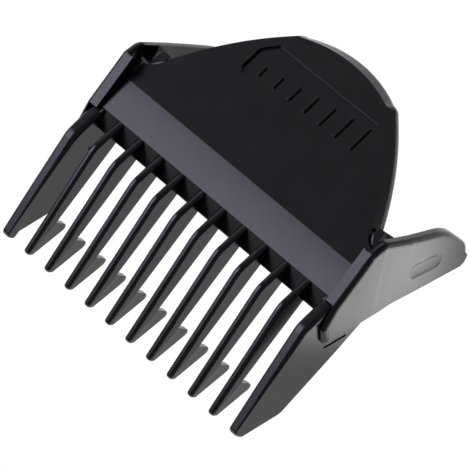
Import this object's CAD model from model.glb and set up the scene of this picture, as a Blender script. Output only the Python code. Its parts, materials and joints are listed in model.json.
import json
import math

import bmesh
import bpy
from mathutils import Matrix, Vector
from mathutils.bvhtree import BVHTree


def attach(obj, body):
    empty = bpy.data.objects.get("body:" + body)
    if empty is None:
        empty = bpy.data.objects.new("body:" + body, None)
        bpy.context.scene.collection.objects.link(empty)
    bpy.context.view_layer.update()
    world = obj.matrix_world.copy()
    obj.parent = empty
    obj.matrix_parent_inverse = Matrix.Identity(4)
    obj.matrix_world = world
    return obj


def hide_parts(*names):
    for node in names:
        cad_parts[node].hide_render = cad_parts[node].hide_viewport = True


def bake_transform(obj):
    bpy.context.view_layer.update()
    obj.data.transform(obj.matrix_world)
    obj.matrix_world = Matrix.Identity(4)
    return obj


bl_info = {
    "name": "Clipper guide comb",
    "version": (1, 0, 0),
    "blender": (4, 5, 0),
    "location": "View3D > Sidebar > Guide comb",
    "description": "Rounds, finishes and lights the moulded guide comb built around its CAD model",
    "category": "Object",
}

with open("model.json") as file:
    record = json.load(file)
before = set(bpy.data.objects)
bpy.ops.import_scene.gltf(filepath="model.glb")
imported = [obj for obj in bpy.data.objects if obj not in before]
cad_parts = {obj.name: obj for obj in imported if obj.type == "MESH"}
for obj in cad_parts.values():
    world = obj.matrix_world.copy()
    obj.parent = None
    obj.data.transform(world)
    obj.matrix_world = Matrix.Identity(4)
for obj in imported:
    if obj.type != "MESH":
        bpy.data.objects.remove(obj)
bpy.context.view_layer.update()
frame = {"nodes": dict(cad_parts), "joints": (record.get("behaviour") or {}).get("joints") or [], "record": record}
NODES = frame["nodes"]
BODY_OF = {n: b for b, members in frame["record"]["behaviour"]["bodies"].items() for n in members}
SLOT_OF = {s["node"]: s["material_slot"] for s in frame["record"]["subparts"]}
JOINTS = {j["name"]: j for j in frame["joints"]}
SIDES = (("left", -1), ("right", 1))
TEETH = [f"tooth_{i:02d}" for i in range(1, 11)]
MM = 0.001

# ---- The comb's own frame: X across the teeth, +Y from their tips to the hood, +Z out of the
# skin side, with the bar's front edge as its origin. The clips' hinge line gives its place.
BAR_SLOPE = math.radians(13)
HINGE_DEPTH = 0.7 * MM
HINGE_AXIS = Vector(JOINTS["left_clip_flex"]["axis"])
HINGE_AT = Vector(JOINTS["left_clip_flex"]["pos_m"])
STAND_TILT = math.atan2(HINGE_AXIS.z, HINGE_AXIS.y) + BAR_SLOPE
TO_FLOOR = Matrix.Translation(
    Vector((0, HINGE_AT.y, HINGE_AT.z))
    + Vector((0, -HINGE_DEPTH * math.sin(STAND_TILT), HINGE_DEPTH * math.cos(STAND_TILT)))
) @ Matrix.Rotation(STAND_TILT, 4, "X")
TO_COMB = TO_FLOOR.inverted()

# Edges flatter than this stay smooth to the eye, and only edges sharper than the second are rounded
SMOOTH_BELOW = math.radians(32)
ROUND_ABOVE = math.radians(24)
# An edge whose middle is this close to a neighbouring piece is left alone, as the two meet there
CONTACT = 0.02 * MM
# The way the clips' rear edges look, in the comb's own frame
ARM_SIDE = Vector((0, 0.867, 0.499))
# The least area of a clip's flat outer face, and how deep its outer skin is
OUTER_FACE_AREA = 2 * MM * MM
OUTER_SKIN = 0.9 * MM
FOLD_REACH = 3 * MM


def in_comb(point):
    """A point of the standing comb, in millimetres in the comb's own frame."""
    return (TO_COMB @ Vector(point)) / MM


def direction(x, y, z):
    """A direction of the comb's own frame, as it stands."""
    return (TO_FLOOR.to_3x3() @ Vector((x, y, z))).normalized()


# ---- Sizes, colours and lights that a user would change


class CombRounding(bpy.types.PropertyGroup):
    tooth: bpy.props.FloatProperty(
        name="Inner teeth", description="Rounding along the top of the inner teeth",
        default=0.42 * MM, min=0.0, subtype="DISTANCE", unit="LENGTH")
    end_tooth: bpy.props.FloatProperty(
        name="End teeth", description="Rounding along the top of the end teeth",
        default=0.7 * MM, min=0.0, subtype="DISTANCE", unit="LENGTH")
    strip: bpy.props.FloatProperty(
        name="Clips", description="Rounding of the outer edge of the clips' strips, cheeks and arms",
        default=0.75 * MM, min=0.0, subtype="DISTANCE", unit="LENGTH")
    rim: bpy.props.FloatProperty(
        name="Hood rim", description="Rounding of the hood rim's outer edges",
        default=0.28 * MM, min=0.0, subtype="DISTANCE", unit="LENGTH")
    small: bpy.props.FloatProperty(
        name="Small edges", description="Rounding that the mould gives every other edge",
        default=0.12 * MM, min=0.0, subtype="DISTANCE", unit="LENGTH")
    crown: bpy.props.FloatProperty(
        name="Bar crown", description="Rise of the bar's middle above its two edges",
        default=0.03 * MM, min=0.0, subtype="DISTANCE", unit="LENGTH")


class CombFinish(bpy.types.PropertyGroup):
    plastic: bpy.props.StringProperty(
        name="Plastic", description="sRGB hex colour of the moulded plastic", default="#0b0b0f")
    gloss: bpy.props.FloatProperty(
        name="Roughness", description="Roughness of the satin faces", default=0.24, min=0.0, max=1.0)
    grain: bpy.props.FloatProperty(
        name="Grain", description="Spacing of the fine grain that the mould leaves",
        default=0.16 * MM, min=0.0, subtype="DISTANCE", unit="LENGTH")


class CombStage(bpy.types.PropertyGroup):
    floor: bpy.props.StringProperty(
        name="Floor", description="sRGB hex colour of the floor", default="#f7f7f7")
    softbox: bpy.props.FloatProperty(
        name="Softbox", description="Radiance of the softbox above the comb", default=3.0, min=0.0)
    room: bpy.props.FloatProperty(
        name="Room", description="Strength of the light from all round", default=0.15, min=0.0)


# ---- Materials


def linear(hex_colour):
    """An sRGB hex colour as the linear RGBA that shaders take."""
    parts = [int(hex_colour[i:i + 2], 16) / 255 for i in (1, 3, 5)]
    return [p / 12.92 if p <= 0.04045 else ((p + 0.055) / 1.055) ** 2.4 for p in parts] + [1.0]


def add_node(tree, kind, settings=None, **inputs):
    """Adds a node with its settings, and sets or links its inputs by name."""
    node = tree.nodes.new(kind)
    for name, value in (settings or {}).items():
        setattr(node, name, value)
    for name, value in inputs.items():
        key = name.replace("_", " ")
        socket = node.inputs[key]
        if isinstance(value, bpy.types.NodeSocket):
            tree.links.new(value, socket)
        else:
            socket.default_value = value
    return node


def new_material(name):
    """A material and its empty node tree, or the material alone where it's already made."""
    material = bpy.data.materials.get(name)
    if material:
        return material, None
    material = bpy.data.materials.new(name)
    material.use_nodes = True
    material.node_tree.nodes.clear()
    return material, material.node_tree


def moulded_plastic(name, colour, roughness, grain, flow=0.0):
    """Injection-moulded black ABS from a fine satin tool: near-black body colour, a clean gloss
    that the tool's texture spreads a little, and slight clouding where the melt flowed."""
    material, tree = new_material(name)
    if tree is None:
        return material
    place = add_node(tree, "ShaderNodeTexCoord").outputs["Object"]
    # Spark-eroded grain is about 0.05 mm across; drawn coarser so that it shows at all
    fine = add_node(tree, "ShaderNodeTexNoise", Vector=place, Scale=1 / grain, Detail=2.0)
    # Melt clouding is some 4 mm across
    cloud = add_node(tree, "ShaderNodeTexNoise", Vector=place, Scale=1 / (4 * MM), Detail=3.0)
    # Flow lines run across the comb, a millimetre or so apart and tens of millimetres long
    stretched = add_node(tree, "ShaderNodeMapping", Vector=place, Scale=(0.05, 1.0, 1.0))
    lines = add_node(tree, "ShaderNodeTexNoise", Vector=stretched.outputs["Vector"],
                     Scale=1 / (1.6 * MM), Detail=2.0)
    spread = add_node(tree, "ShaderNodeMapRange", Value=cloud.outputs["Fac"], To_Min=roughness * 0.85,
                      To_Max=roughness * 1.15)
    shade = add_node(tree, "ShaderNodeMapRange", Value=lines.outputs["Fac"], To_Min=0.6, To_Max=1.5)
    tint = add_node(tree, "ShaderNodeMix", {"data_type": "RGBA", "blend_type": "MULTIPLY"})
    tint.inputs["Factor"].default_value = 1.0
    tint.inputs[6].default_value = linear(colour)
    tree.links.new(shade.outputs["Result"], tint.inputs[7])
    waves = add_node(tree, "ShaderNodeBump", Height=lines.outputs["Fac"], Strength=flow,
                     Distance=0.02 * MM)
    bump = add_node(tree, "ShaderNodeBump", Height=fine.outputs["Fac"], Strength=0.05,
                    Distance=0.01 * MM, Normal=waves.outputs["Normal"])
    shader = add_node(tree, "ShaderNodeBsdfPrincipled", Base_Color=tint.outputs[2],
                      Roughness=spread.outputs["Result"], Normal=bump.outputs["Normal"], IOR=1.52)
    add_node(tree, "ShaderNodeOutputMaterial", Surface=shader.outputs["BSDF"])
    return material


def plastic_for(slot):
    """The comb is one moulding, so its pieces differ only in how bright the tool was polished."""
    finish = bpy.context.scene.comb_finish
    if slot == "hood":
        return moulded_plastic("satin_moulded_abs_hood", finish.plastic, finish.gloss, finish.grain,
                               flow=0.25)
    if slot == "teeth":
        return moulded_plastic("polished_moulded_abs_teeth", finish.plastic, finish.gloss * 0.8,
                               finish.grain)
    if slot == "marks":
        return moulded_plastic("polished_moulded_abs_marks", "#141418", finish.gloss, finish.grain)
    return moulded_plastic("satin_moulded_abs", finish.plastic, finish.gloss, finish.grain)


# ---- Shaping


def tree_of_others(node):
    """A search tree over every CAD node but this one, to find where it meets its neighbours."""
    verts, faces = [], []
    for name, obj in NODES.items():
        if name != node:
            start = len(verts)
            verts += [v.co.copy() for v in obj.data.vertices]
            faces += [[start + i for i in p.vertices] for p in obj.data.polygons]
    return BVHTree.FromPolygons(verts, faces)


def clean_copy(node):
    """The CAD node's shape as a bmesh of whole faces."""
    bm = bmesh.new()
    bm.from_mesh(NODES[node].data)
    bmesh.ops.remove_doubles(bm, verts=bm.verts, dist=0.002 * MM)
    bmesh.ops.dissolve_limit(bm, angle_limit=math.radians(0.4), verts=bm.verts, edges=bm.edges)
    return bm


def weigh_edges(bm, node, width_of, widest):
    """Gives each free sharp edge the share of the widest rounding that width_of names."""
    others = tree_of_others(node)
    layer = bm.edges.layers.float.new("bevel_weight_edge")
    for edge in bm.edges:
        if len(edge.link_faces) != 2 or edge.calc_face_angle() < ROUND_ABOVE:
            continue
        middle = (edge.verts[0].co + edge.verts[1].co) / 2
        if others.find_nearest(middle, CONTACT)[0] is not None:
            continue
        edge[layer] = min(1.0, width_of(edge, in_comb(middle)) / widest)


def cut(bm, point, normal):
    """Cuts every face along a plane, and keeps both sides."""
    bmesh.ops.bisect_plane(bm, geom=bm.verts[:] + bm.edges[:] + bm.faces[:], plane_co=point,
                           plane_no=normal, dist=0.001 * MM)


def round_rim(bm, planes, inset, chosen, radius, cuts, share=lambda p: 1.0):
    """Rounds the edge between a side and the chosen faces that run along it.

    The side is given by planes, each a point and its outward normal, and by inset, which measures
    how far a point lies in from it. The chosen faces are lowered to the arc at even steps."""
    for k in range(1, cuts + 1):
        depth = radius * (1 - math.cos(math.pi / 2 * k / cuts))
        for point, normal in planes:
            cut(bm, point - normal * depth, normal)
    bm.normal_update()
    moves = {}
    for face in bm.faces:
        if chosen(face):
            for v in face.verts:
                moves[v] = moves.get(v, Vector()) + face.normal
    for v, way in moves.items():
        gap = max(0.0, radius - inset(v.co))
        if gap:
            drop = radius - math.sqrt(max(0.0, radius * radius - gap * gap))
            v.co -= way.normalized() * drop * share(in_comb(v.co))


def round_tooth(node, radius, cuts):
    """Rounds both long edges of a tooth's skin face, fading in over the millimetre by the bar."""
    bm = clean_copy(node)
    low, high = min(v.co.x for v in bm.verts), max(v.co.x for v in bm.verts)
    sides = ((Vector((low, 0, 0)), Vector((-1, 0, 0))), (Vector((high, 0, 0)), Vector((1, 0, 0))))
    round_rim(bm, sides, lambda co: min(co.x - low, high - co.x), faces_skin, radius, cuts,
              lambda p: min(1.0, max(0.0, -p.y)))
    return finish_piece(bm, node + "_moulded", node)


def faces_skin(face):
    """True for the skin face of a tooth: its ramp, its crown and the upper part of its tip."""
    normal = TO_COMB.to_3x3() @ face.normal
    middle = in_comb(face.calc_center_median())
    return abs(normal.x) < 0.5 and middle.z > 0.2 and middle.y < -0.3 and (
        normal.z > 0.2 or normal.y < -0.7)


def new_object(bm, name, node):
    """Makes an object of the finished bmesh, with the CAD node's plastic on it."""
    mesh = bpy.data.meshes.new(name)
    bm.to_mesh(mesh)
    bm.free()
    mesh.shade_smooth()
    mesh.set_sharp_from_angle(angle=SMOOTH_BELOW)
    mesh.materials.append(plastic_for(SLOT_OF[node]))
    obj = bpy.data.objects.new(name, mesh)
    bpy.context.scene.collection.objects.link(obj)
    return obj


def faces_out_of_clip(face):
    """True for a clip's rear and top edge faces, and for its front edge ahead of the bar."""
    normal = TO_COMB.to_3x3() @ face.normal
    front = normal.y < -0.6 and in_comb(face.calc_center_median()).y < -3
    return abs(normal.x) < 0.5 and (front or normal.dot(ARM_SIDE) > 0.15)


def finish_piece(bm, name, node, width=0.0, segments=4):
    """Makes the object, rounds its weighed edges and puts it in the CAD node's place."""
    obj = new_object(bm, name, node)
    if width:
        bevel = obj.modifiers.new("rounding", "BEVEL")
        bevel.limit_method = "WEIGHT"
        bevel.width = width
        bevel.segments = segments
        bevel.profile = 0.5
        bevel.miter_outer = "MITER_ARC"
        bevel.use_clamp_overlap = True
    weighted = obj.modifiers.new("flat_faces", "WEIGHTED_NORMAL")
    weighted.weight = 100
    weighted.keep_sharp = True
    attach(obj, BODY_OF[node])
    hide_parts(node)
    return obj


def rounded_piece(node, width_of, widest, segments=4):
    """Finishes a CAD node with a rounding whose width at each sharp edge width_of names."""
    bm = clean_copy(node)
    weigh_edges(bm, node, width_of, widest)
    return finish_piece(bm, node + "_moulded", node, widest, segments)


# ---- One operator for each piece or group of like pieces


class COMB_OT_hood(bpy.types.Operator):
    """Rounds the hood and its rim, and finishes the gauge strokes"""
    bl_idname = "comb.hood"
    bl_label = "Hood"

    def execute(self, context):
        size = context.scene.comb_rounding

        def plate_rounding(edge, p):
            in_panel = p.y > 9 and abs(p.x) < 14
            return size.small * (0.6 if in_panel else 2)

        rounded_piece("hood_plate", plate_rounding, 0.3 * MM)
        rounded_piece("hood_rim", lambda e, p: size.rim, size.rim)
        rounded_piece("length_marks", lambda e, p: size.small * 0.7, size.small * 0.7, 2)
        return {"FINISHED"}


class COMB_OT_bar(bpy.types.Operator):
    """Crowns the sloping bar and rounds the beam in front of it"""
    bl_idname = "comb.bar"
    bl_label = "Bar and beam"

    def execute(self, context):
        size = context.scene.comb_rounding
        bm = clean_copy("front_bar")
        lines = [e for e in bm.edges
                 if abs((TO_COMB.to_3x3() @ (e.verts[0].co - e.verts[1].co)).normalized().x) < 0.5
                 and min(in_comb(v.co).z - self.top(in_comb(v.co).y) for v in e.verts) > -0.05]
        bmesh.ops.subdivide_edges(bm, edges=lines, cuts=11, use_grid_fill=True)
        lift = direction(0, math.sin(BAR_SLOPE), math.cos(BAR_SLOPE))
        low, high = 0.0, max(in_comb(v.co).y for v in bm.verts)
        for v in bm.verts:
            p = in_comb(v.co)
            if p.z - self.top(p.y) > -0.05:
                t = (p.y - low) / (high - low)
                v.co += lift * size.crown * 4 * t * (1 - t)
        weigh_edges(bm, "front_bar", lambda e, p: size.small, size.small)
        finish_piece(bm, "front_bar_moulded", "front_bar", size.small)
        rounded_piece("cross_beam", lambda e, p: size.small * 2, size.small * 2)
        return {"FINISHED"}

    def top(self, y):
        """The height of the bar's skin face at a depth, in the comb's own frame."""
        return -y * math.tan(BAR_SLOPE)


class COMB_OT_teeth(bpy.types.Operator):
    """Rounds the ten inner teeth"""
    bl_idname = "comb.teeth"
    bl_label = "Inner teeth"

    def execute(self, context):
        size = context.scene.comb_rounding
        for node in TEETH:
            round_tooth(node, size.tooth, 4)
        return {"FINISHED"}


class COMB_OT_end_teeth(bpy.types.Operator):
    """Rounds the two wide end teeth"""
    bl_idname = "comb.end_teeth"
    bl_label = "End teeth"

    def execute(self, context):
        size = context.scene.comb_rounding
        for side, _ in SIDES:
            round_tooth("end_tooth_" + side, size.end_tooth, 6)
        return {"FINISHED"}


class COMB_OT_clips(bpy.types.Operator):
    """Rounds the side clips: strips, cheeks, arms, thumb pads and catches"""
    bl_idname = "comb.clips"
    bl_label = "Side clips"

    def execute(self, context):
        size = context.scene.comb_rounding
        for side, sign in SIDES:
            for node in ("clip_arm_" + side, "thumb_pad_" + side):
                bm = clean_copy(node)
                outer = self.outer_planes(bm, sign)

                def inset(co):
                    return min((point - co).dot(normal) for point, normal in outer)

                round_rim(bm, outer, inset, faces_out_of_clip, size.strip, 6)
                self.soften_folds(bm, outer, inset, sign)
                finish_piece(bm, node + "_moulded", node)
            rounded_piece("catch_" + side, lambda e, p: size.small, size.small)
        return {"FINISHED"}

    def soften_folds(self, bm, outer, inset, sign):
        """Draws the outer skin in to a slow bend for 3 mm to each side of a fold."""
        for (p, m), (q, n) in zip(outer, outer[1:]):
            fold = m.cross(n).normalized()
            across = fold.cross(m + n).normalized()
            at = Matrix((m, n, fold)).inverted() @ Vector((m.dot(p), n.dot(q), 0))
            for k in range(-4, 5):
                cut(bm, at + across * (FOLD_REACH * k / 4), across)
            slope = math.tan(m.angle(n))
            for v in bm.verts:
                s = abs((v.co - at).dot(across))
                if s < FOLD_REACH and inset(v.co) < OUTER_SKIN:
                    v.co.x -= sign * slope * (FOLD_REACH - s) ** 2 / (4 * FOLD_REACH)

    def outer_planes(self, bm, sign):
        """The flat planes of the clip's outer side, each a point and its outward normal."""
        planes = []
        for face in sorted(bm.faces, key=lambda f: -f.calc_area()):
            if face.normal.x * sign > 0.97 and face.calc_area() > OUTER_FACE_AREA:
                if all(face.normal.angle(n) > 0.02 for _, n in planes):
                    planes.append((face.verts[0].co.copy(), face.normal.copy()))
        return sorted(planes, key=lambda plane: -abs(plane[1].x))


class COMB_OT_webs(bpy.types.Operator):
    """Makes the webs that flex between the comb and its clips"""
    bl_idname = "comb.webs"
    bl_label = "Flexing webs"

    def execute(self, context):
        for side, _ in SIDES:
            for kind in ("hinge_web_", "neck_web_"):
                node = kind + side
                bm = clean_copy(node)
                across = [e for e in bm.edges if abs(e.verts[0].co.x - e.verts[1].co.x) > 0.1 * MM]
                bmesh.ops.subdivide_edges(bm, edges=across, cuts=6, use_grid_fill=True)
                bmesh.ops.triangulate(bm, faces=bm.faces)
                obj = new_object(bm, node + "_moulded", node)
                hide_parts(node)
                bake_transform(obj)
        return {"FINISHED"}


class COMB_OT_stage(bpy.types.Operator):
    """Makes the pale floor, the soft lights and the camera"""
    bl_idname = "comb.stage"
    bl_label = "Stage"

    def softbox(self, name, towards, distance, wide, deep, radiance, colour, along):
        """A rectangular soft light that stands some way off and faces the comb."""
        light = bpy.data.lights.new(name, "AREA")
        light.shape = "RECTANGLE"
        light.size, light.size_y = wide, deep
        light.energy = radiance * math.pi * wide * deep
        light.color = linear(colour)[:3]
        back = Vector(towards).normalized()
        side = (Vector(along) - back * Vector(along).dot(back)).normalized()
        up = back.cross(side)
        turn = Matrix((side, up, back)).transposed().to_4x4()
        obj = bpy.data.objects.new(name, light)
        obj.matrix_world = Matrix.Translation(back * distance) @ turn
        bpy.context.scene.collection.objects.link(obj)
        return obj

    def execute(self, context):
        scene, stage = context.scene, context.scene.comb_stage
        bm = bmesh.new()
        bmesh.ops.create_grid(bm, x_segments=1, y_segments=1, size=1.5)
        mesh = bpy.data.meshes.new("floor")
        bm.to_mesh(mesh)
        bm.free()
        floor = bpy.data.objects.new("floor", mesh)
        scene.collection.objects.link(floor)
        material, tree = new_material("white_lit_acrylic_floor")
        place = add_node(tree, "ShaderNodeTexCoord").outputs["Object"]
        # A lit white table, brightest in a pool beside the comb's right-hand clip
        pool = add_node(tree, "ShaderNodeMapping", Vector=place,
                        Location=(-45 / 30, -10 / 30, 0), Scale=(1 / (30 * MM), 1 / (30 * MM), 1))
        glow = add_node(tree, "ShaderNodeTexGradient", {"gradient_type": "SPHERICAL"},
                        Vector=pool.outputs["Vector"])
        strength = add_node(tree, "ShaderNodeMapRange", {"interpolation_type": "SMOOTHSTEP"},
                            Value=glow.outputs["Fac"], From_Min=0.18, From_Max=0.52, To_Min=1.12,
                            To_Max=4.1)
        shine = add_node(tree, "ShaderNodeEmission", Color=linear(stage.floor),
                         Strength=strength.outputs["Result"])
        add_node(tree, "ShaderNodeOutputMaterial", Surface=shine.outputs["Emission"])
        mesh.materials.append(material)

        self.softbox("softbox_above", direction(-0.6, 0.05, 0.8), 0.5, 0.235, 0.34, stage.softbox,
                     "#e6e7ff", direction(0, 1, 0))
        self.softbox("softbox_behind", direction(-0.6, 0.75, 0.27), 0.6, 0.5, 0.5, 0.8, "#f4f4ff",
                     (1, 0, 0))
        self.softbox("softbox_front", direction(-0.6, -0.56, 0.57), 0.6, 0.4, 0.2, 0.34, "#f4f4ff",
                     (1, 0, 0))

        world = bpy.data.worlds.new("room")
        scene.world = world
        world.use_nodes = True
        world.node_tree.nodes["Background"].inputs["Color"].default_value = linear("#f3f3ff")
        world.node_tree.nodes["Background"].inputs["Strength"].default_value = stage.room

        # The camera stands 0.74 m off, above the skin side and out to the right, a little rolled
        right, up, back = (Vector(r) for r in ((0.6124, 0.5394, -0.578), (-0.5148, 0.8269, 0.2262),
                                               (0.6, 0.159, 0.784)))
        centre = right * 2.661 - up * 4.409 + back * 739.9
        camera = bpy.data.cameras.new("camera")
        camera.sensor_width = 36.0
        camera.lens = 449.8
        camera.clip_start, camera.clip_end = 0.05, 10.0
        rig = bpy.data.objects.new("camera", camera)
        turn = Matrix((right, up, back)).transposed().to_4x4()
        rig.matrix_world = TO_FLOOR @ Matrix.Translation(centre * MM) @ turn
        scene.collection.objects.link(rig)
        scene.camera = rig
        scene.view_settings.view_transform = "Standard"
        return {"FINISHED"}


class COMB_PT_panel(bpy.types.Panel):
    bl_label = "Guide comb"
    bl_idname = "COMB_PT_panel"
    bl_space_type = "VIEW_3D"
    bl_region_type = "UI"
    bl_category = "Guide comb"

    def draw(self, context):
        for group in (context.scene.comb_rounding, context.scene.comb_finish, context.scene.comb_stage):
            for name in group.__annotations__:
                self.layout.prop(group, name)
        for operator in OPERATORS:
            self.layout.operator(operator.bl_idname)


GROUPS = (CombRounding, CombFinish, CombStage)
OPERATORS = (COMB_OT_stage, COMB_OT_hood, COMB_OT_bar, COMB_OT_teeth, COMB_OT_end_teeth, COMB_OT_clips,
             COMB_OT_webs)


def register():
    for cls in GROUPS + OPERATORS + (COMB_PT_panel,):
        bpy.utils.register_class(cls)
    bpy.types.Scene.comb_rounding = bpy.props.PointerProperty(type=CombRounding)
    bpy.types.Scene.comb_finish = bpy.props.PointerProperty(type=CombFinish)
    bpy.types.Scene.comb_stage = bpy.props.PointerProperty(type=CombStage)


def unregister():
    for name in ("comb_rounding", "comb_finish", "comb_stage"):
        delattr(bpy.types.Scene, name)
    for cls in reversed(GROUPS + OPERATORS + (COMB_PT_panel,)):
        bpy.utils.unregister_class(cls)


def main():
    register()
    for operator in OPERATORS:
        group, name = operator.bl_idname.split(".")
        getattr(getattr(bpy.ops, group), name)()


if __name__ == "__main__":
    main()
